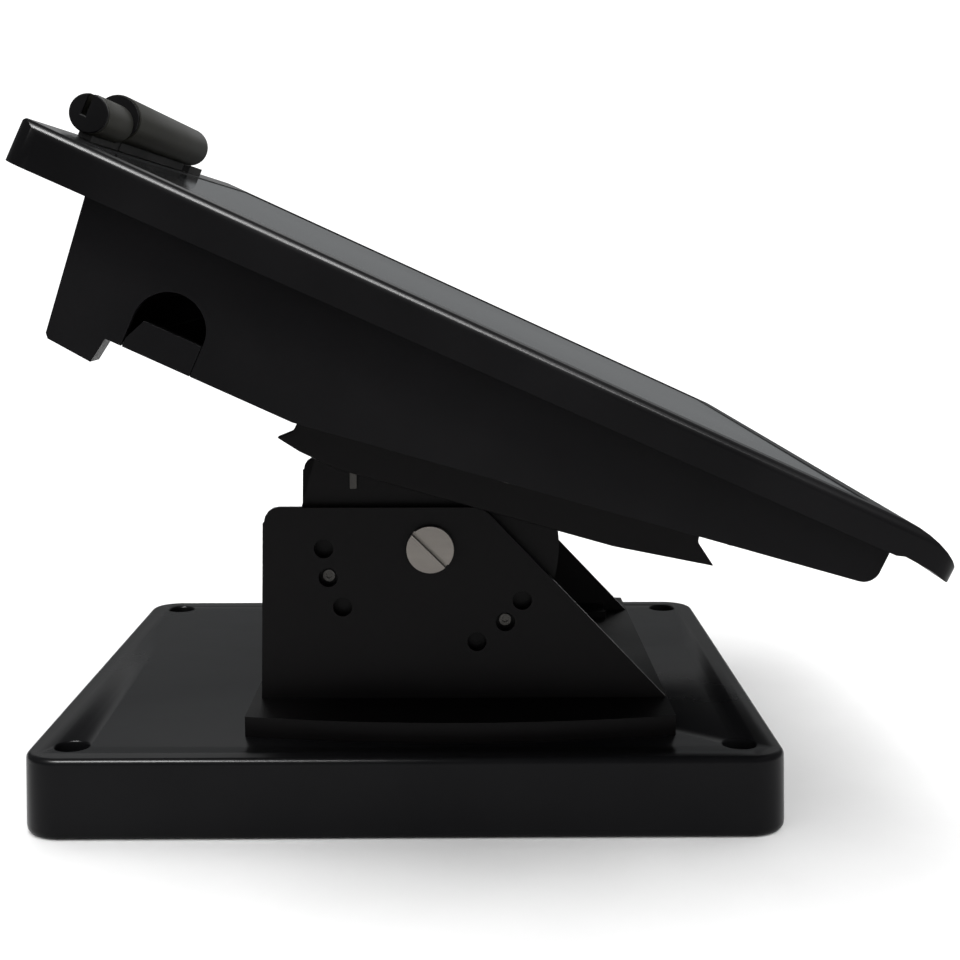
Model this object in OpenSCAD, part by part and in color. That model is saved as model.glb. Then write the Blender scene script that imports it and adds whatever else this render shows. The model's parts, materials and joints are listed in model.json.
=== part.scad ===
// Point-of-sale touchscreen terminal on a tilting bracket and a weighted base.
// +Z is up, -Y is the operator's side, X runs across the screen.
// The origin is the centre of the base's underside.

/* [Base] */
// Width of the base, left to right
base_w = 227; // [210:1:250]
// Depth of the base, front to rear
base_d = 252; // [246:1:280]
// Height of the base
base_h = 27; // [26:1:32]
// Radius of the base's corners in plan
base_r = 13; // [10:1:16]
// Wall of the base cover
base_wall = 3; // [2.5:0.5:3.5]
// Inset of the counter screw holes from the sides
hole_inset = 15; // [14:0.5:17]

/* [Bracket] */
// Height of the platform under the cheeks
platform_h = 7; // [7:1:9]
// Front edge of the platform
platform_front = -91; // [-94:1:-91]
// Rear edge of the platform
platform_rear = 55; // [53:1:60]
// Outer distance across the two cheeks
cheek_span = 136; // [132:1:140]
// Thickness of a cheek
cheek_t = 3; // [2.5:0.5:3]
// Depth position of the tilt pivot
pivot_y = -7.5; // [-10:0.5:-6]
// Height of the tilt pivot above the counter
pivot_z = 87.5; // [87:0.5:92]
// Radius of the tilting arm around its pivot
arm_r = 45; // [42:1:45]
// Radius of the pivot bolt's shank
bolt_r = 4; // [3:0.5:5]
// Radius of the circle of locking holes
lock_r = 37; // [36:0.5:38.5]

/* [Head] */
// Width of the front bezel
head_w = 350; // [346:1:356]
// Length of the front bezel down its slope
head_l = 283; // [281:0.5:288]
// Slope of the screen from level at rest
screen_tilt = 24.5; // [20:0.5:28]
// Taper between the screen and the housing's underside
under_taper = 8.6; // [8.3:0.1:9]
// Depth of the bezel at its rear edge
bezel_t = 12.6; // [12.4:0.1:13]
// Depth of the bezel at its front
bezel_front_t = 10; // [9.8:0.1:10.6]
// Distance of the pivot from the head's rear edge, down the slope
pivot_back = 153.1; // [151:0.1:156]
// Distance of the pivot below the screen plane
pivot_depth = 81.1; // [80:0.1:84]
// Wall of the rear housing
wall = 3; // [2.5:0.5:3]

/* [Card reader] */
// Radius of the reader's main barrel
barrel_r = 7; // [6.6:0.1:7.2]
// Radius of the reader's swipe guide
guide_r = 5.8; // [5.2:0.1:5.9]

/* [Hidden] */
$fn = 64;
black = [0.05, 0.05, 0.055];
steel = [0.75, 0.75, 0.73];
green = [0.05, 0.3, 0.16];
// Small play between pieces that are fastened together
gap = 0.1;
// Base: screw places, plate thickness and the recess over each counter screw
hole_x = base_w / 2 - hole_inset;
hole_y = base_d / 2 - hole_inset;
hole_r = 2.75;
well_r = 5.6;
well_depth = 3.5;
plate_t = 2;
plate_inset = base_wall + 0.3;
foot_r = 9;
foot_x = base_w / 2 - 40;
foot_y = base_d / 2 - 30;
plate_screws = [[-60, 112], [60, 112], [-60, -112], [60, -112]];
top_z = base_h + platform_h;
platform_bolt_at = [[-40, 35], [40, 35], [-40, -70], [40, -70]];
// Platform: half its greatest width, and the radius of its two long sides
platform_x = 97;
platform_r = 350;
// Bracket: distances from the middle plane, and the row of locking holes each side
cheek_in = cheek_span / 2 - cheek_t;
washer_t = 1.5;
arm_out = cheek_in - washer_t - 0.2;
arm_t = 3.5;
arm_in = arm_out - arm_t;
lock_angles = [180, 196, 214, 330, 315, 296];
lock_screw_angles = [196, 315];
foot_screw_y = [-60, 30];
flange_w = 16;
// Head: the saddle's slope, and the underside of the housing as a line
saddle_tilt = screen_tilt - under_taper;
under_u = 97.8;
under_v = 46;
pivot_drop = (pivot_depth - (under_v - (pivot_back - under_u) * tan(under_taper)))
    * cos(under_taper);
saddle_plate_t = 2.5;
saddle_deep = 23.9;
saddle_x = 75;
saddle_screw_at = [[-30, 32], [30, 32], [-30, -75], [30, -75]];
arm_screw_y = [-30, 0, 30];
housing_x = 168;
// Window in the bezel and the glass in it
rim_side = 15;
rim_rear = 14;
rim_front = 27;
ledge = 6;
glass_t = 3;
pocket_t = 4.2;
top_t = 6.2;
bezel_wall = 3.5;
lip_start = head_l - 20;
lip_r = 32;
bezel_end = 18.5;
bezel_r = 3;
housing_front = 265;
nose_r = 5;
skirt_in = 158;
// Cable bay under the rear of the housing
bay_rear = 30;
bay_front = 84.8;
bay_roof = 27.5;
cover_start = 46.8;
arch_u = 57;
arch_v = 36.5;
arch_r = 10.2;
// Boards inside the head, as depth below the screen plane
chassis_v = 15.5;
board_v = 19.5;
board_t = 1.6;
standoff_at = [[-132, 50], [30, 50], [-132, 140], [30, 140]];
housing_screw_at = [[-150, 158], [150, 158], [-150, 225], [150, 225]];
// The power button on the right-hand side
button_u = 196;
button_v = 20.3;
// Reader: axes of the two barrels above the screen plane, and its stretch along X
barrel_u = 8.2;
barrel_up = 9.4;
guide_up = 7.4;
reader_start = -141;
reader_step = -106;
reader_end = 16;

// A point of the head's side outline: down the slope, and depth below the screen plane
function hp(u, v) = [-u, -v];
// Depth of the housing's underside at a distance down the slope
function under(u) = under_v - (u - under_u) * tan(under_taper);
// Depth of the joint between the bezel and the housing
function joint_v(u) = bezel_t - (bezel_t - bezel_front_t) * u / (head_l - bezel_end);

// Extrudes a side outline in Y and Z along X, centred on x
module side(w, x = 0) {
    translate([x - w / 2, 0, 0]) rotate([90, 0, 90]) linear_extrude(w) children();
}
module at_pivot() { translate([0, pivot_y, pivot_z]) rotate([saddle_tilt, 0, 0]) children(); }
module at_head() {
    translate([0, pivot_y, pivot_z]) rotate([screen_tilt, 0, 0])
        translate([0, pivot_back, pivot_depth]) children();
}
// A block in the head: centre across, start down the slope, depth, then its three sizes
module block(x, u, v, w, l, t) { translate([x - w / 2, -u - l, -v - t]) cube([w, l, t]); }
module rod(r, h) { cylinder(r = r, h = h, $fn = 32); }
module cross_rod(r, w) { rotate([0, 90, 0]) cylinder(r = r, h = w, center = true); }
module round_rect(w, d, r) {
    square([w - 2 * r, d], center = true);
    square([w, d - 2 * r], center = true);
    for (x = [-1, 1], y = [-1, 1]) translate([x * (w / 2 - r), y * (d / 2 - r)]) circle(r);
}
// A cap screw that points down, its head's underside at z = 0
module screw(r, head_r, head_h, l) {
    difference() {
        union() {
            rod(head_r, head_h);
            translate([0, 0, -l]) rod(r, l + head_h / 2);
        }
        translate([0, 0, head_h * 0.4]) cylinder(r = head_r * 0.5, h = head_h, $fn = 6);
    }
}
module mirror_x() {
    children();
    mirror([1, 0, 0]) children();
}

// ---- Base ----
module base_cover() color(black) {
    difference() {
        linear_extrude(base_h) round_rect(base_w, base_d, base_r);
        difference() {
            translate([0, 0, -1]) linear_extrude(base_h - base_wall + 1)
                round_rect(base_w - 2 * base_wall, base_d - 2 * base_wall, base_r - base_wall);
            for (x = [-1, 1], y = [-1, 1]) translate([x * hole_x, y * hole_y, plate_t])
                cylinder(r = well_r + 2.5, h = base_h);
            for (p = plate_screws) translate([p[0], p[1], plate_t]) rod(4, base_h);
        }
        for (x = [-1, 1], y = [-1, 1]) translate([x * hole_x, y * hole_y, 0]) {
            translate([0, 0, -1]) rod(hole_r, base_h + 2);
            translate([0, 0, base_h - well_depth]) cylinder(r = well_r, h = well_depth + 1);
        }
        for (p = plate_screws) translate([p[0], p[1], -1]) rod(1.5 + gap, 13);
        for (p = platform_bolt_at) translate([p[0], p[1], 0]) rod(2.5 + gap, base_h + 1);
    }
}
module base_bottom_plate() color("dimgray") difference() {
    linear_extrude(plate_t) round_rect(base_w - 2 * plate_inset, base_d - 2 * plate_inset,
        base_r - plate_inset);
    for (x = [-1, 1], y = [-1, 1]) {
        translate([x * hole_x, y * hole_y, -1]) rod(hole_r, plate_t + 2);
        translate([x * foot_x, y * foot_y, -1]) cylinder(r = foot_r + gap, h = 2.2);
    }
    for (p = plate_screws) translate([p[0], p[1], -1]) {
        rod(1.5 + gap, plate_t + 2);
        rod(3.2, 2.2);
    }
}
module base_weight() color("gray") difference() {
    translate([0, 0, plate_t]) linear_extrude(7) round_rect(base_w - 60, base_d - 62, 6);
    for (p = platform_bolt_at) translate([p[0], p[1], 0]) cylinder(r = 7, h = 20);
}
module base_feet() color("black") for (x = [-1, 1], y = [-1, 1])
    translate([x * foot_x, y * foot_y, 0]) cylinder(r = foot_r, h = 1.2);
module base_plate_screws() color(steel) for (p = plate_screws)
    translate([p[0], p[1], 1.2]) mirror([0, 0, 1]) screw(1.5, 3, 1, 9);

// ---- Bracket on the base ----
module stand_platform() color(black) difference() {
    intersection() {
        translate([platform_r - platform_x, -18, base_h])
            cylinder(r = platform_r, h = platform_h, $fn = 256);
        translate([platform_x - platform_r, -18, base_h])
            cylinder(r = platform_r, h = platform_h, $fn = 256);
        translate([-110, platform_front, base_h])
            cube([220, platform_rear - platform_front, platform_h]);
    }
    for (p = platform_bolt_at) translate([p[0], p[1], base_h - 1]) {
        rod(2.5 + gap, platform_h + 2);
        translate([0, 0, 4]) rod(5, platform_h);
    }
    for (x = [-1, 1], y = foot_screw_y)
        translate([x * (cheek_in - 9), y, base_h + 1]) rod(2 + gap, platform_h);
}
module platform_bolts() color(steel) for (p = platform_bolt_at) translate([p[0], p[1], 0]) {
    translate([0, 0, base_h + 3]) screw(2.5, 4.6, 3, 12);
    translate([0, 0, base_h - base_wall - 4]) difference() {
        cylinder(r = 4.6, h = 4, $fn = 6);
        translate([0, 0, -1]) rod(2.5 + gap / 2, 6);
    }
}
// One cheek, on the +X side: a plate with a foot turned inwards
module cheek() difference() {
    union() {
        side(cheek_t, cheek_in + cheek_t / 2) difference() {
            polygon([[52, top_z], [50.5, 96.5], for (a = [0:22.5:90])
                [45 + 5 * cos(a), 97 + 5 * sin(a)], for (a = [0:8:48])
                [-22 - 9 * sin(a), 93 + 9 * cos(a)], [-90.5, top_z]]);
            translate([pivot_y, pivot_z]) circle(bolt_r + 0.03);
            for (a = lock_angles)
                translate([pivot_y - lock_r * cos(a), pivot_z + lock_r * sin(a)]) circle(3.3);
        }
        translate([cheek_in - flange_w, -80, top_z]) cube([flange_w + 1, 124, 3]);
    }
    for (y = foot_screw_y) translate([cheek_in - 9, y, top_z - 1]) rod(2 + gap, 6);
}
module left_cheek() color(black) mirror([1, 0, 0]) cheek();
module right_cheek() color(black) cheek();
module cheek_screws() color(steel) for (x = [-1, 1], y = foot_screw_y)
    translate([x * (cheek_in - 9), y, top_z + 3]) screw(2, 3.6, 1.8, 8);
// Slotted shoulder bolts: the head lies outside the cheek, the shank carries the arm
module pivot_bolts() color(steel) mirror_x() translate([0, pivot_y, pivot_z]) difference() {
    union() {
        translate([cheek_span / 2, 0, 0]) rotate([0, 90, 0]) cylinder(r = 8.2, h = 2.6);
        translate([arm_in - 7, 0, 0]) rotate([0, 90, 0])
            cylinder(r = bolt_r, h = cheek_span / 2 + 1 - arm_in + 7);
    }
    translate([cheek_span / 2 + 1.6, 0, 0]) rotate([45, 0, 0]) cube([2.6, 20, 1.5], center = true);
}
module ring(x, r_in, r_out, t) translate([x, pivot_y, pivot_z]) rotate([0, 90, 0]) difference() {
    cylinder(r = r_out, h = t);
    translate([0, 0, -1]) cylinder(r = r_in, h = t + 2);
}
module pivot_washers() color("silver") mirror_x()
    ring(cheek_in - washer_t, bolt_r + 0.05, 9, washer_t);
module pivot_nuts() color(steel) mirror_x() translate([arm_in - 6.2, pivot_y, pivot_z])
    rotate([0, 90, 0]) difference() {
        cylinder(r = 7.5, h = 6, $fn = 6);
        translate([0, 0, -1]) cylinder(r = bolt_r + 0.05, h = 8);
    }

// ---- Saddle and arms, which tilt ----
module tilt_saddle() color(black) at_pivot() difference() {
    union() {
        translate([-saddle_x + 1, -84, pivot_drop - saddle_plate_t])
            cube([2 * saddle_x - 2, 135, saddle_plate_t]);
        mirror_x() side(3, saddle_x - 1.5) polygon([[53, pivot_drop], [55.7, pivot_drop - 15],
            [60.7, pivot_drop - 18.9], [52, pivot_drop - saddle_deep + 2.4],
            [38, pivot_drop - saddle_deep], [-60, pivot_drop - saddle_deep],
            [-95.3, pivot_drop - saddle_deep + 2.8],
            [-87.6, pivot_drop - 14.5], [-86, pivot_drop]]);
    }
    for (p = saddle_screw_at) translate([p[0], p[1], pivot_drop - 8]) rod(2 + gap, 12);
    for (x = [-1, 1], y = arm_screw_y)
        translate([x * (arm_in - 8), y, pivot_drop - 8]) rod(2 + gap, 12);
}
// One arm, on the +X side: a round plate with a neck, and a flange under the saddle
module arm() at_pivot() difference() {
    union() {
        side(arm_t, arm_in + arm_t / 2) difference() {
            intersection() {
                union() {
                    circle(arm_r, $fn = 96);
                    translate([-40.6, 0]) square([87.6, 60]);
                }
                translate([-100, -100]) square([200, 100 + pivot_drop - saddle_plate_t]);
            }
            circle(6);
            for (a = lock_screw_angles) rotate(-saddle_tilt)
                translate([-lock_r * cos(a), lock_r * sin(a)]) circle(2);
        }
        translate([arm_in - 15, -40.6, pivot_drop - saddle_plate_t - 2.5]) cube([16, 81, 2.5]);
    }
    for (y = arm_screw_y) translate([arm_in - 8, y, pivot_drop - 12]) rod(2 + gap, 14);
}
module left_arm() color(black) mirror([1, 0, 0]) arm();
module right_arm() color(black) arm();
// A small steel tab on each arm, seen above the cheek
module stop_tabs() color(steel) mirror_x() translate([arm_out, pivot_y + 25.5, pivot_z + 20.5])
    cube([1.2, 2.4, 9.5]);
module pivot_bushes() color("goldenrod") mirror_x() ring(arm_in, bolt_r + 0.05, 6, arm_t);
module lock_screws() color(steel) mirror_x() for (a = lock_screw_angles)
    translate([arm_in - 3, pivot_y - lock_r * cos(a), pivot_z + lock_r * sin(a)]) rotate([0, 90, 0])
        difference() {
            union() {
                rod(1.9, arm_t + 3);
                translate([0, 0, arm_t + 3]) rod(2.1, 1);
            }
            translate([0, 0, arm_t + 3.4]) cylinder(r = 1.1, h = 2, $fn = 6);
        }
module arm_screws() color(steel) at_pivot() for (x = [-1, 1], y = arm_screw_y)
    translate([x * (arm_in - 8), y, pivot_drop - saddle_plate_t - 2.5])
        mirror([0, 0, 1]) screw(2, 3.6, 2, 5);
module saddle_screws() color(steel) at_pivot() for (p = saddle_screw_at)
    translate([p[0], p[1], pivot_drop - saddle_plate_t]) mirror([0, 0, 1]) screw(2, 3.6, 2, 5.4);

// ---- Head ----
module rear_housing() color(black) at_head() difference() {
    side(2 * housing_x) polygon([hp(22.6, joint_v(22.6)), hp(26.9, 51.2), hp(27.9, 52.4),
        hp(41, 53.5), hp(42.2, under_v), hp(under_u, under_v - 0.02),
        for (a = [0:15:75]) hp(housing_front - nose_r * (1 - sin(a + under_taper)),
            under(housing_front - nose_r) - nose_r * (1 / cos(under_taper) - cos(a + under_taper))
            - 0.02),
        hp(housing_front, joint_v(housing_front))]);
    // The rear wall reaches down only at the two sides, which leaves room for cords
    block(0, -10, under_v, 2 * skirt_in, 56, 20);
    side(2 * (housing_x - wall)) polygon([hp(25.7, 8), hp(27.3, bay_roof - wall),
        hp(bay_front + wall, bay_roof - wall), hp(bay_front + wall, under_v - wall),
        hp(under_u, under_v - wall), hp(housing_front - 7, under(housing_front - 7) - wall),
        hp(housing_front - wall, 8)]);
    side(2 * (housing_x - wall)) polygon([hp(bay_rear, bay_roof), hp(bay_rear, under_v - wall),
        hp(cover_start, under_v - wall), hp(cover_start, 60), hp(bay_front, 60), hp(bay_front, bay_roof)]);
    side(2 * housing_x + 2) union() {
        translate(hp(arch_u, arch_v)) circle(arch_r);
        polygon([hp(arch_u - arch_r, arch_v), hp(arch_u - arch_r, 60),
            hp(arch_u + arch_r, 60), hp(arch_u + arch_r, arch_v)]);
    }
    for (p = saddle_screw_at) saddle_hole(p);
    for (x = [-1, 1], y = arm_screw_y) saddle_hole([x * (arm_in - 8), y]);
    for (p = housing_screw_at) translate([p[0], -p[1], -60]) rod(1.5 + gap, 50);
    port_holes();
    translate([housing_x - wall - 1, -button_u, -button_v]) rotate([0, 90, 0]) rod(4.25, wall + 2);
}
// A screw hole through the housing's floor, square to its slope
module saddle_hole(p) translate([0, -pivot_back, -pivot_depth]) rotate([-under_taper, 0, 0])
    translate([p[0], p[1], pivot_drop - 1]) rod(2 + gap, wall + 3);
// The sockets' openings, through the wall between the cable bay and the electronics
module port_holes() {
    for (x = [-120, -80]) block(x, bay_front - 1, 30.2, 31, wall + 2, 11);
    for (x = [-40, -20, 0]) block(x, bay_front - 1, 29.6, 7, wall + 2, 13);
    block(25, bay_front - 1, 29.6, 16, wall + 2, 13);
    block(60, bay_front - 1, 29.8, 11, wall + 2, 11);
    block(95, bay_front - 1, 29.8, 12, wall + 2, 10);
}
module front_bezel() color(black) at_head() difference() {
    intersection() {
        side(head_w) polygon([hp(2.2, 0), hp(1.1, 0.9), hp(0.5, bezel_t),
            hp(head_l - bezel_end, bezel_front_t), hp(head_l - 16, 9.2), hp(head_l - 8, 9.8),
            hp(head_l - 1.4, 11.2), hp(head_l - 0.3, 10.8), hp(head_l, 9.4),
            for (a = [38:-6:2]) hp(lip_start + lip_r * sin(a), lip_r * (1 - cos(a)))]);
        translate([0, -head_l / 2, -40]) linear_extrude(60) round_rect(head_w, head_l, 7);
        // The long edges of the upper face are rounded
        translate([0, 1, -30]) rotate([90, 0, 0]) linear_extrude(head_l + 2) union() {
            translate([-head_w / 2, 0]) square([head_w, 30 - bezel_r]);
            translate([bezel_r - head_w / 2, 0]) square([head_w - 2 * bezel_r, 30]);
            for (x = [-1, 1]) translate([x * (head_w / 2 - bezel_r), 30 - bezel_r]) circle(bezel_r);
        }
    }
    block(0, bezel_wall, top_t, head_w - 2 * bezel_wall,
        head_l - bezel_end - 2 * bezel_wall, 20);
    block(0, rim_rear, -1, head_w - 2 * rim_side, head_l - rim_rear - rim_front, pocket_t + 1);
    block(0, rim_rear + ledge, -1, head_w - 2 * (rim_side + ledge),
        head_l - rim_rear - rim_front - 2 * ledge, 20);
}
module touch_glass() color([0.12, 0.14, 0.16]) at_head()
    block(0, rim_rear + 0.3, 0.3, head_w - 2 * rim_side - 0.6,
        head_l - rim_rear - rim_front - 0.6, glass_t);
module touch_gasket() color("black") at_head() difference() {
    block(0, rim_rear + 0.5, glass_t + 0.3, head_w - 2 * rim_side - 1,
        head_l - rim_rear - rim_front - 1, pocket_t - glass_t - 0.3);
    block(0, rim_rear + ledge, 0, head_w - 2 * (rim_side + ledge),
        head_l - rim_rear - rim_front - 2 * ledge, 10);
}
module lcd_panel() color("gray") at_head() block(0, 28.5, top_t + gap, 326, 219.5, 6);
module panel_chassis() color("silver") at_head() difference() {
    union() {
        block(0, 28.5, chassis_v, 320, 224, 1.2);
        for (p = housing_screw_at) translate([p[0], -p[1], -chassis_v - 7]) rod(3.4, 6.4);
    }
    for (p = standoff_at) translate([p[0], -p[1], -30]) rod(1.2, 20);
    for (p = housing_screw_at) translate([p[0], -p[1], -30]) rod(1.5 + gap, 20);
    for (x = [-154, 154], u = [40, 130, 240]) translate([x, -u, -30]) rod(1.5 + gap, 20);
}
module chassis_screws() color(steel) at_head() for (x = [-154, 154], u = [40, 130, 240])
    translate([x, -u, -chassis_v - 1.2]) mirror([0, 0, 1]) screw(1.5, 2.6, 1, 1.2);
module mainboard() color(green) at_head() difference() {
    block(-51, 40, board_v, 174, 110, board_t);
    for (p = standoff_at) translate([p[0], -p[1], -30]) rod(1.6, 20);
}
module board_standoffs() color("goldenrod") at_head() for (p = standoff_at)
    translate([p[0], -p[1], -board_v]) {
        cylinder(r = 3, h = board_v - chassis_v - 1.2, $fn = 6);
        translate([0, 0, -board_t - 1.2]) rod(1.5, board_t + 1.2);
    }
module heat_sink() color("silver") at_head() {
    block(-70, 102, board_v + board_t, 60, 42, 3);
    for (i = [0:11]) block(-98 + i * 5.1, 102, board_v + board_t + 3, 1.4, 42, 9);
}
module memory_module() color(green) at_head() block(-15, 100, board_v + board_t, 34, 30, 4);
module coin_cell() color("silver") at_head() translate([20, -115, -board_v - board_t - 3.2])
    cylinder(r = 10, h = 3.2);
module solid_state_drive() color("gray") at_head() block(105, 100, chassis_v + 1.2, 70, 100, 7);
module power_board() color(green) at_head() {
    block(105, 34, chassis_v + 1.4, 90, 48, 1.6);
    for (i = [0:3]) translate([75 + 18 * i, -58, -chassis_v - 3 - 5.4]) rod(4, 5.4);
}
module touch_controller() color(green) at_head() block(-110, 165, chassis_v + 1.4, 60, 22, 3);
module speakers() color("dimgray") at_head() for (x = [-130, 130]) difference() {
    translate([x, -217, -chassis_v - 1.2 - 4.4]) cylinder(r = 9, h = 4.4);
    translate([x, -217, -chassis_v - 1.2 - 5]) cylinder(r = 6, h = 2);
}
// A socket's shell on the bay wall, with its opening towards the bay
module socket(x, w, t, v) difference() {
    block(x, bay_front + 0.2, v, w, 14, t);
    block(x, bay_front - 1, v + 1.5, w - 3, 8, t - 3);
}
module serial_ports() color("silver") at_head() for (x = [-120, -80]) socket(x, 30.6, 10.6, 30.4);
module usb_ports() color("silver") at_head() for (x = [-40, -20, 0]) socket(x, 6.6, 12.6, 29.8);
module lan_port() color("silver") at_head() socket(25, 15.6, 12.6, 29.8);
module drawer_port() color(black) at_head() socket(60, 10.6, 10.6, 30);
module dc_inlet() color(black) at_head() socket(95, 11.6, 9.6, 30);
module housing_screws() color(steel) at_head() for (p = housing_screw_at)
    translate([p[0], -p[1], -under(p[1]) - 0.35]) mirror([0, 0, 1])
        screw(1.5, 2.8, 1.6, under(p[1]) - chassis_v + 0.1);
module io_cover() color(black) at_head() {
    side(2 * (housing_x - wall) - 0.6) polygon([hp(cover_start + 0.3, under_v - 2.6),
        hp(cover_start + 0.3, under_v), hp(bay_front - 0.3, under_v),
        hp(bay_front - 0.3, under_v - 2.6)]);
    mirror_x() side(4, housing_x - 2) polygon([hp(cover_start + 3.2, arch_v + 0.6),
        hp(cover_start + 0.4, under_v - 2.5), hp(cover_start + 0.4, under_v),
        hp(arch_u + arch_r - 0.2, under_v),
        hp(arch_u + arch_r - 0.2, arch_v + 0.6)]);
}
module power_button() color("gray") at_head()
    translate([housing_x - 5, -button_u, -button_v]) rotate([0, 90, 0]) {
        rod(4, 6.6);
        rod(5, 1.4);
    }
module power_switch() color("silver") at_head() {
    block(housing_x - 10.2, button_u - 5, 16.9, 7, 10, 7);
    translate([housing_x - 7, -button_u, -button_v]) rotate([0, 90, 0]) rod(1.2, 0.4);
}

// ---- Card reader along the head's rear edge ----
module along(r, up, x0, x1) translate([(x0 + x1) / 2, -barrel_u, up]) cross_rod(r, x1 - x0);
module reader_barrel() color([0.14, 0.15, 0.14]) at_head() difference() {
    along(barrel_r, barrel_up, reader_step, reader_end);
    along(barrel_r - 1.6, barrel_up, reader_step - 1, reader_end - 4);
    translate([-20, -barrel_u, barrel_up - barrel_r - 1]) rod(3.1, 4);
}
module reader_guide() color([0.13, 0.14, 0.13]) at_head() difference() {
    along(guide_r, guide_up, reader_start + 2, reader_step - 2);
    translate([reader_start, -barrel_u + 0.4, guide_up - 1]) cube([46, 1.5, 10]);
}
module reader_ring() color([0.08, 0.08, 0.08]) at_head()
    along(barrel_r - 0.5, barrel_up, reader_step - 1.95, reader_step - 0.05);
module reader_end_cap() color("black") at_head() difference() {
    along(guide_r - 0.2, guide_up, reader_start, reader_start + 1.9);
    translate([reader_start - 1, -barrel_u + 0.4, guide_up - 1]) cube([6, 1.5, 10]);
}
module reader_board() color(green) at_head()
    translate([reader_step + 6, -barrel_u - 3.5, barrel_up - 1]) cube([90, 7, 1.2]);
module reader_lens() color("lightgray") at_head() translate([reader_end - 3, -barrel_u, barrel_up])
    translate([3.1, 0, 0]) rotate([0, 90, 0]) rod(3.2, 0.8);
module reader_bracket() color([0.08, 0.08, 0.08]) at_head() difference() {
    union() {
        translate([reader_start + 6, -barrel_u - 2, 0.05]) cube([38, 4, 3.4]);
        translate([reader_step + 6, -barrel_u - 2.5, 0.05]) cube([106, 5, 3.6]);
        translate([reader_end + 0.5, -barrel_u - 3, 0.05]) cube([26, 5, 4.4]);
    }
    along(guide_r + 0.05, guide_up, reader_start - 5, reader_step);
    along(barrel_r + 0.05, barrel_up, reader_step, 60);
    for (x = [-70, -20, 0]) translate([x, -barrel_u, -1]) rod(1.3, 9);
}
module reader_screws() color(steel) at_head() for (x = [-70, 0])
    translate([x, -barrel_u, 0.1]) rod(1.2, 2.1);

base_cover();
base_bottom_plate();
base_weight();
base_feet();
base_plate_screws();
stand_platform();
platform_bolts();
left_cheek();
right_cheek();
cheek_screws();
pivot_bolts();
pivot_washers();
pivot_nuts();
tilt_saddle();
left_arm();
right_arm();
stop_tabs();
pivot_bushes();
lock_screws();
arm_screws();
saddle_screws();
rear_housing();
front_bezel();
touch_glass();
touch_gasket();
lcd_panel();
panel_chassis();
chassis_screws();
mainboard();
board_standoffs();
heat_sink();
memory_module();
coin_cell();
solid_state_drive();
power_board();
touch_controller();
speakers();
serial_ports();
usb_ports();
lan_port();
dc_inlet();
drawer_port();
housing_screws();
io_cover();
power_button();
power_switch();
reader_barrel();
reader_guide();
reader_ring();
reader_end_cap();
reader_board();
reader_lens();
reader_bracket();
reader_screws();
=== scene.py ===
"""A point-of-sale touchscreen terminal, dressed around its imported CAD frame.

Lengths are in millimetres in the constants below and in metres in Blender.
"""
import json
import math

import bmesh
import bpy
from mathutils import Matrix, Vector


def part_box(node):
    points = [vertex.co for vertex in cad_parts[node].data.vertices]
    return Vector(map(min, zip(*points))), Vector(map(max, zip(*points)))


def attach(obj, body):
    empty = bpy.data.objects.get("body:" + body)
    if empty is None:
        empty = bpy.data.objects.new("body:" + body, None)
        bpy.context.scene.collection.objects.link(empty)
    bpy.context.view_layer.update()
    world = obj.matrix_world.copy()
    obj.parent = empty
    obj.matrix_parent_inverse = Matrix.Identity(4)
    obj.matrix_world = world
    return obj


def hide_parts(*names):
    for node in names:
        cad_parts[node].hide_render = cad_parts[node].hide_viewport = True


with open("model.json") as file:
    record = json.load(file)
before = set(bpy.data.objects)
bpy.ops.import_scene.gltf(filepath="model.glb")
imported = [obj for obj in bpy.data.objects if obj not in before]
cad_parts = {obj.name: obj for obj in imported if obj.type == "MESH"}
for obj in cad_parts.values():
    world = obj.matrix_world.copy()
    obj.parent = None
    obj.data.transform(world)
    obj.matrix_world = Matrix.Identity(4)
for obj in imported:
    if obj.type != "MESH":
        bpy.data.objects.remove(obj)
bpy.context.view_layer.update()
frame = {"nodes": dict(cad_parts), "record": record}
NODES = frame["nodes"]
MM = 0.001

# ---------------------------------------------------------------- materials
# The band of noise values that a colour or a roughness is spread over
NOISE_LOW, NOISE_HIGH = 0.3, 0.7
BROAD_DETAIL, FINE_DETAIL = 4.0, 2.0
BUMP_STRENGTH = 0.6
COAT_ROUGHNESS = 0.08


def nodes_of(name):
    """A new material, and its node tree, its Principled shader and its object coordinates."""
    mat = bpy.data.materials.new(name)
    mat.use_nodes = True
    tree = mat.node_tree
    shader = tree.nodes["Principled BSDF"]
    where = tree.nodes.new("ShaderNodeTexCoord").outputs["Object"]
    return mat, tree, shader, where


def noise(tree, where, scale, detail, stretch=None):
    """Noise over the object's own coordinates, drawn out along an axis if stretch is given."""
    if stretch:
        mapping = tree.nodes.new("ShaderNodeMapping")
        mapping.inputs["Scale"].default_value = stretch
        tree.links.new(where, mapping.inputs["Vector"])
        where = mapping.outputs["Vector"]
    tex = tree.nodes.new("ShaderNodeTexNoise")
    tex.inputs["Scale"].default_value = scale
    tex.inputs["Detail"].default_value = detail
    tree.links.new(where, tex.inputs["Vector"])
    return tex.outputs["Fac"]


def spread(tree, value, low, high):
    """Maps a noise value to the range from low to high."""
    ranged = tree.nodes.new("ShaderNodeMapRange")
    for key, number in (("From Min", NOISE_LOW), ("From Max", NOISE_HIGH),
                        ("To Min", low), ("To Max", high)):
        ranged.inputs[key].default_value = number
    tree.links.new(value, ranged.inputs["Value"])
    return ranged.outputs["Result"]


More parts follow.
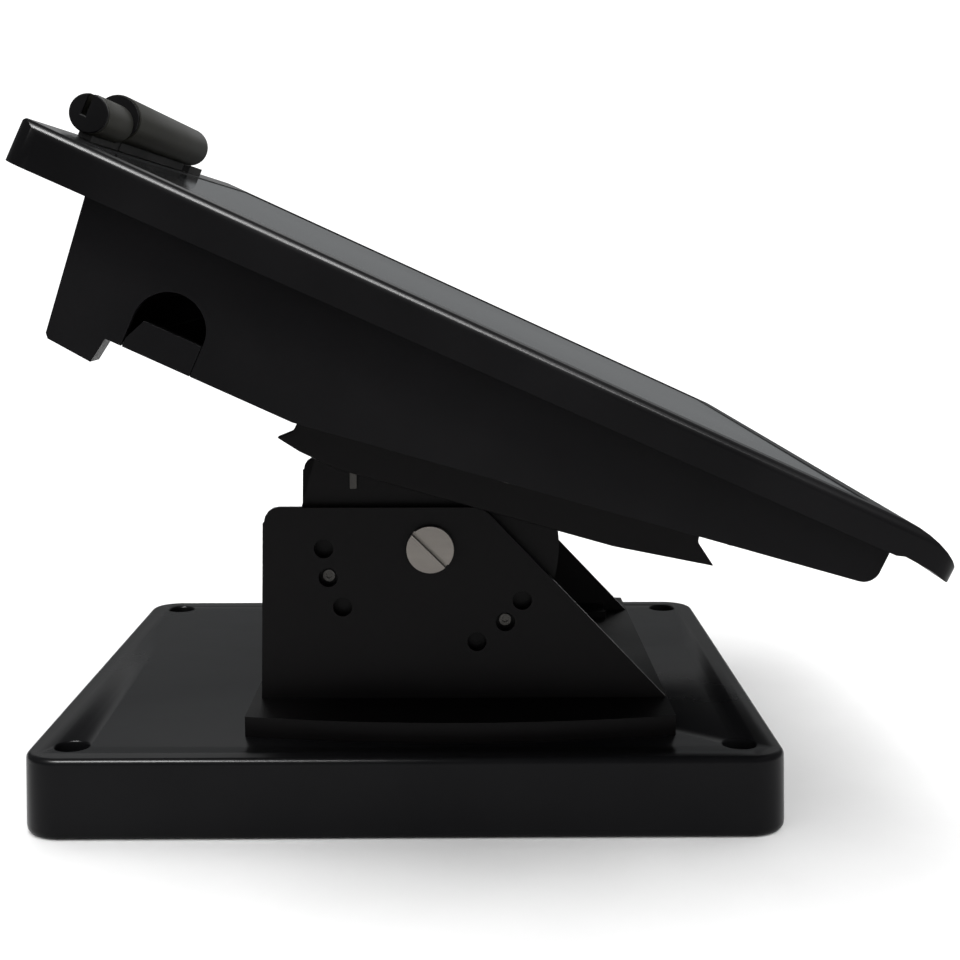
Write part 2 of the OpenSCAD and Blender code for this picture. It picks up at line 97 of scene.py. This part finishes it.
def tint(tree, value, dark, light):
    """A colour between dark and light that follows a noise value."""
    ramp = tree.nodes.new("ShaderNodeValToRGB")
    stops = ramp.color_ramp.elements
    for stop, position, colour in zip(stops, (NOISE_LOW, NOISE_HIGH), (dark, light)):
        stop.position = position
        stop.color = (*colour, 1)
    tree.links.new(value, ramp.inputs["Fac"])
    return ramp.outputs["Color"]


def bump(tree, shader, value, depth):
    """Raises the surface by a noise value, depth in metres."""
    node = tree.nodes.new("ShaderNodeBump")
    node.inputs["Distance"].default_value = depth
    node.inputs["Strength"].default_value = BUMP_STRENGTH
    tree.links.new(value, node.inputs["Height"])
    tree.links.new(node.outputs["Normal"], shader.inputs["Normal"])


def moulded(name, dark, light, rough, grain, grain_depth, coat=0.0, metal=0.0, patch=18.0,
            stretch=None, shine=0.5):
    """A moulded, painted or turned surface: colour, roughness and a fine grain from noise."""
    mat, tree, shader, where = nodes_of(name)
    broad = noise(tree, where, patch, BROAD_DETAIL, stretch)
    fine = noise(tree, where, grain, FINE_DETAIL, stretch)
    tree.links.new(tint(tree, broad, dark, light), shader.inputs["Base Color"])
    tree.links.new(spread(tree, broad, *rough), shader.inputs["Roughness"])
    bump(tree, shader, fine, grain_depth)
    shader.inputs["Metallic"].default_value = metal
    shader.inputs["Specular IOR Level"].default_value = shine
    shader.inputs["Coat Weight"].default_value = coat
    shader.inputs["Coat Roughness"].default_value = COAT_ROUGHNESS
    return mat


FINISHES = {
    "gloss_shell": moulded("gloss_black", (0.0035, 0.0035, 0.004), (0.0055, 0.0055, 0.006),
                           (0.26, 0.32), 90, 0.00002, shine=0.07),
    "satin_shell": moulded("satin_black", (0.0026, 0.0025, 0.0028), (0.0042, 0.0040, 0.0045),
                           (0.29, 0.37), 1400, 0.00003, shine=0.06),
    "black_steel": moulded("powder_black", (0.0024, 0.0021, 0.0023), (0.0040, 0.0036, 0.0038),
                           (0.36, 0.48), 900, 0.00005, shine=0.08),
    "reader_plastic": moulded("reader_grey", (0.0115, 0.0112, 0.0085), (0.019, 0.0185, 0.0142),
                              (0.42, 0.52), 1600, 0.00003, shine=0.12),
    "plate_steel": moulded("thin_paint", (0.03, 0.03, 0.03), (0.05, 0.05, 0.05),
                           (0.4, 0.55), 700, 0.00004, metal=0.4),
    "ballast": moulded("raw_casting", (0.05, 0.05, 0.05), (0.11, 0.105, 0.10),
                       (0.6, 0.8), 300, 0.0002, metal=0.6),
    "foot_rubber": moulded("foot_rubber", (0.012, 0.012, 0.012), (0.024, 0.024, 0.024),
                           (0.7, 0.85), 1200, 0.00006),
    "screw_steel": moulded("turned_steel", (0.13, 0.12, 0.11), (0.19, 0.175, 0.16),
                           (0.26, 0.40), 500, 0.00002, metal=0.9, stretch=(1, 1, 6)),
    "black_screw": moulded("blackened_steel", (0.03, 0.029, 0.027), (0.055, 0.052, 0.048),
                           (0.3, 0.45), 900, 0.00002, metal=0.8),
    "bronze": moulded("sintered_bronze", (0.42, 0.27, 0.10), (0.58, 0.40, 0.17),
                      (0.35, 0.5), 1500, 0.00003, metal=1.0),
    "touch_glass": moulded("dark_glass", (0.006, 0.0065, 0.0075), (0.008, 0.0085, 0.0095),
                           (0.05, 0.10), 12, 0.000004, patch=7),
    "gasket_foam": moulded("gasket_foam", (0.010, 0.010, 0.010), (0.024, 0.024, 0.024),
                           (0.85, 0.95), 2000, 0.0001, shine=0.1),
    "panel_metal": moulded("sheet_aluminium", (0.5, 0.5, 0.5), (0.62, 0.62, 0.61),
                           (0.3, 0.45), 400, 0.00002, metal=1.0, stretch=(1, 8, 1)),
    "board_green": moulded("solder_mask", (0.010, 0.075, 0.035), (0.018, 0.11, 0.05),
                           (0.25, 0.4), 260, 0.00003),
    "connector_metal": moulded("tinned_shell", (0.48, 0.48, 0.46), (0.6, 0.6, 0.58),
                               (0.25, 0.4), 700, 0.00001, metal=1.0),
    "connector_plastic": moulded("socket_black", (0.012, 0.012, 0.012), (0.024, 0.024, 0.024),
                                 (0.4, 0.55), 1500, 0.00003),
    "cell_metal": moulded("cell_steel", (0.55, 0.55, 0.55), (0.7, 0.7, 0.7),
                          (0.2, 0.3), 800, 0.00001, metal=1.0),
    "lens_clear": moulded("frosted_lens", (0.62, 0.63, 0.60), (0.75, 0.76, 0.73),
                          (0.15, 0.25), 900, 0.00001, coat=0.5),
}

# Width in mm of the rounding on each node's edges, where it isn't the usual one
USUAL_EDGE = 0.35
EDGES = {"rear_housing": 1.1, "front_bezel": 0.8, "stand_platform": 1.6,
         "left_cheek": 1.0, "right_cheek": 1.0, "tilt_saddle": 0.6, "left_arm": 0.6,
         "right_arm": 0.6, "reader_barrel": 0.9, "reader_guide": 0.6,
         "reader_end_cap": 0.5, "io_cover": 0.6, "touch_glass": 0.4, "reader_bracket": 0.5}


ROUNDED_FROM = math.radians(32)
WELD_GAP = 0.01


def soften(obj, width):
    """Joins the mesh's split edges and rounds its corners by a width in mm."""
    weld = obj.modifiers.new("weld", "WELD")
    weld.merge_threshold = WELD_GAP * MM
    bevel = obj.modifiers.new("round", "BEVEL")
    bevel.width = width * MM
    bevel.segments = 3
    bevel.limit_method = "ANGLE"
    bevel.angle_limit = ROUNDED_FROM
    bevel.harden_normals = False
    bevel.use_clamp_overlap = True


def dress(obj, finish):
    """Gives every slot of an object one finish."""
    obj.data.materials.clear()
    obj.data.materials.append(FINISHES[finish])


for part in frame["record"]["subparts"]:
    cad = NODES[part["node"]]
    dress(cad, part["material_slot"])
    soften(cad, EDGES.get(part["node"], USUAL_EDGE))


# ---------------------------------------------------------------- meshes
SHARP_FROM = math.radians(40)


def made(name, mesh_maker):
    """An object from a shape that a function makes in bmesh."""
    bm = bmesh.new()
    mesh_maker(bm)
    bmesh.ops.recalc_face_normals(bm, faces=bm.faces)
    mesh = bpy.data.meshes.new(name)
    bm.to_mesh(mesh)
    bm.free()
    obj = bpy.data.objects.new(name, mesh)
    bpy.context.scene.collection.objects.link(obj)
    return obj


def piece(name, mesh_maker, finish, body):
    """Makes a shape, shades it, gives it a finish and lets it ride on a body."""
    obj = made(name, mesh_maker)
    for face in obj.data.polygons:
        face.use_smooth = True
    obj.data.set_sharp_from_angle(angle=SHARP_FROM)
    obj.data.materials.append(FINISHES[finish])
    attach(obj, body)
    return obj


def rounded_outline(width, depth, radius):
    """Points of a rounded rectangle, anticlockwise, in mm."""
    per_corner = 10
    points = []
    for corner, (sx, sy) in enumerate(((1, 1), (-1, 1), (-1, -1), (1, -1))):
        cx, cy = sx * (width / 2 - radius), sy * (depth / 2 - radius)
        for step in range(per_corner + 1):
            turn = math.radians(90 * corner + 90 * step / per_corner)
            points.append((cx + radius * math.cos(turn), cy + radius * math.sin(turn)))
    return points


def skin(bm, rings):
    """Joins rings of points with quads, and caps the first and the last."""
    loops = [[bm.verts.new(point) for point in ring] for ring in rings]
    count = len(loops[0])
    for low, high in zip(loops, loops[1:]):
        for i in range(count):
            bm.faces.new((low[i], low[(i + 1) % count], high[(i + 1) % count], high[i]))
    bm.faces.new(loops[0][::-1])
    bm.faces.new(loops[-1])


def cut(target, name, mesh_maker):
    """Takes a shape made in bmesh out of a mesh, and applies the cut."""
    tool = made(name, mesh_maker)
    change = target.modifiers.new(name, "BOOLEAN")
    change.operation = "DIFFERENCE"
    change.solver = "EXACT"
    change.object = tool
    bpy.context.view_layer.update()
    result = bpy.data.meshes.new_from_object(
        target.evaluated_get(bpy.context.evaluated_depsgraph_get()))
    target.modifiers.remove(change)
    target.data = result
    result.set_sharp_from_angle(angle=SHARP_FROM)
    bpy.data.objects.remove(tool)


# ---------------------------------------------------------------- base cover
BASE_LOW, BASE_HIGH = (Vector(corner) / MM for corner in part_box("base_cover"))
BASE_W, BASE_D, BASE_H = BASE_HIGH - BASE_LOW
BASE_CORNER = 13
BASE_ROUND = 2.2
BASE_DRAFT = 0.7
HOLE_IN = 15
SCREW_HOLE_R, WELL_R, MOUTH_R = 2.75, 5.6, 6.2
WELL_DEPTH = 3.5


def base_shell(bm):
    """The cover: a slight draft, a rounded top edge, and a recess below for the plate."""
    # Insets and heights, from the recess's roof round the eased rim, then round the top edge
    foot = [(3.3, 2.1), (3.3, 0.0), (1.6, 0.0), (0.7, 0.35), (0.15, 1.3), (0.0, 2.6)]
    top = [(BASE_DRAFT + BASE_ROUND * (1 - math.cos(a)),
            BASE_H - BASE_ROUND + BASE_ROUND * math.sin(a))
           for a in (math.radians(10 * i) for i in range(10))]
    rings = []
    for inset, z in foot + top:
        outline = rounded_outline(BASE_W - 2 * inset, BASE_D - 2 * inset, BASE_CORNER - inset)
        rings.append([(x * MM, y * MM, z * MM) for x, y in outline])
    skin(bm, rings)


def lathe(bm, profile, centre):
    """A solid of revolution about an upright axis, from its (radius, height) profile in mm."""
    sides = 32
    turns = [2 * math.pi * i / sides for i in range(sides)]
    cx, cy = centre
    skin(bm, [[((cx + radius * math.cos(t)) * MM, (cy + radius * math.sin(t)) * MM, z * MM)
               for t in turns] for radius, z in profile])


def base_wells(bm):
    """The four recesses for the counter screws, with eased mouths."""
    floor_z = BASE_H - WELL_DEPTH
    profile = [(SCREW_HOLE_R, -2), (SCREW_HOLE_R, floor_z - 0.3), (SCREW_HOLE_R + 0.35, floor_z),
               (WELL_R - 0.2, floor_z), (WELL_R, BASE_H - 0.7), (WELL_R + 0.2, BASE_H - 0.25),
               (MOUTH_R, BASE_H + 0.02), (MOUTH_R, BASE_H + 1)]
    for sx in (-1, 1):
        for sy in (-1, 1):
            lathe(bm, profile, (sx * (BASE_W / 2 - HOLE_IN), sy * (BASE_D / 2 - HOLE_IN)))


shell = piece("base_shell", base_shell, "gloss_shell", "base")
cut(shell, "wells", base_wells)
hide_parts("base_cover")


# ---------------------------------------------------------------- stage, camera, light
FLOOR_HALF = 1.2
FLOOR_AT = (-0.4, 0, -0.0002)
mesh = bpy.data.meshes.new("floor")
mesh.from_pydata([(sx * FLOOR_HALF, sy * FLOOR_HALF, 0)
                  for sx, sy in ((-1, -1), (1, -1), (1, 1), (-1, 1))], [], [(0, 1, 2, 3)])
floor = bpy.data.objects.new("floor", mesh)
floor.location = FLOOR_AT
bpy.context.scene.collection.objects.link(floor)
floor.data.materials.append(moulded("pale_floor", (0.80, 0.80, 0.80), (0.83, 0.83, 0.83),
                                    (0.9, 0.95), 40, 0.00001, shine=0.0))

CAMERA_AT = (-0.580, -0.0187, 0.187)
CAMERA_PITCH, CAMERA_YAW = math.radians(8.38), math.radians(-0.68)
# The focal length and the frame's width, in the same units
FRAME_PX, FOCAL_PX = 960, 1500
camera = bpy.data.objects.new("camera", bpy.data.cameras.new("camera"))
camera.data.sensor_width = 36
camera.data.lens = camera.data.sensor_width * FOCAL_PX / FRAME_PX
camera.data.clip_start = 0.01
camera.location = CAMERA_AT
camera.rotation_euler = (math.pi / 2 - CAMERA_PITCH, 0, CAMERA_YAW - math.pi / 2)
bpy.context.scene.collection.objects.link(camera)
bpy.context.scene.camera = camera


def softbox(name, place, target, size, power, length=None, seen=True, shines=True, fills=True):
    """An area light that faces a target, square unless it is given a length.

    It may be kept out of the camera's sight, of reflections, or of the light on matt surfaces.
    """
    data = bpy.data.lights.new(name, "AREA")
    data.size = size
    if length:
        data.shape = "RECTANGLE"
        data.size_y = length
    data.energy = power
    obj = bpy.data.objects.new(name, data)
    obj.location = place
    aim = Vector(target) - Vector(place)
    obj.rotation_euler = aim.to_track_quat("-Z", "Y").to_euler()
    obj.visible_camera = seen
    obj.visible_glossy = shines
    obj.visible_diffuse = fills
    bpy.context.scene.collection.objects.link(obj)


AIM = (0, 0, 0.12)
softbox("key", (-0.6, 0.5, 1.6), AIM, 1.0, 9, shines=False)
softbox("fill", (-0.35, -1.3, 1.2), AIM, 0.5, 7, shines=False)
softbox("rim", (0.5, 0.5, 1.5), AIM, 0.9, 6, shines=False)
softbox("strip", (-0.75, 0, 1.6), (-0.16, 0, 0.15), 1.6, 300, length=0.30, fills=False)
softbox("low", (1.2, 0, 0.66), AIM, 2.0, 1.9, length=0.5, seen=False)

# White to the eye and to matt surfaces, dimmer in what shines
world = bpy.data.worlds.new("studio")
world.use_nodes = True
tree = world.node_tree
white = tree.nodes["Background"]
white.inputs["Color"].default_value = (1, 1, 1, 1)
white.inputs["Strength"].default_value = 1.25
dim = tree.nodes.new("ShaderNodeBackground")
dim.inputs["Color"].default_value = (0.95, 0.98, 1, 1)
dim.inputs["Strength"].default_value = 0.20
mix = tree.nodes.new("ShaderNodeMixShader")
tree.links.new(tree.nodes.new("ShaderNodeLightPath").outputs["Is Glossy Ray"], mix.inputs["Fac"])
tree.links.new(white.outputs["Background"], mix.inputs[1])
tree.links.new(dim.outputs["Background"], mix.inputs[2])
tree.links.new(mix.outputs["Shader"], tree.nodes["World Output"].inputs["Surface"])
bpy.context.scene.world = world
bpy.context.scene.view_settings.view_transform = "Standard"
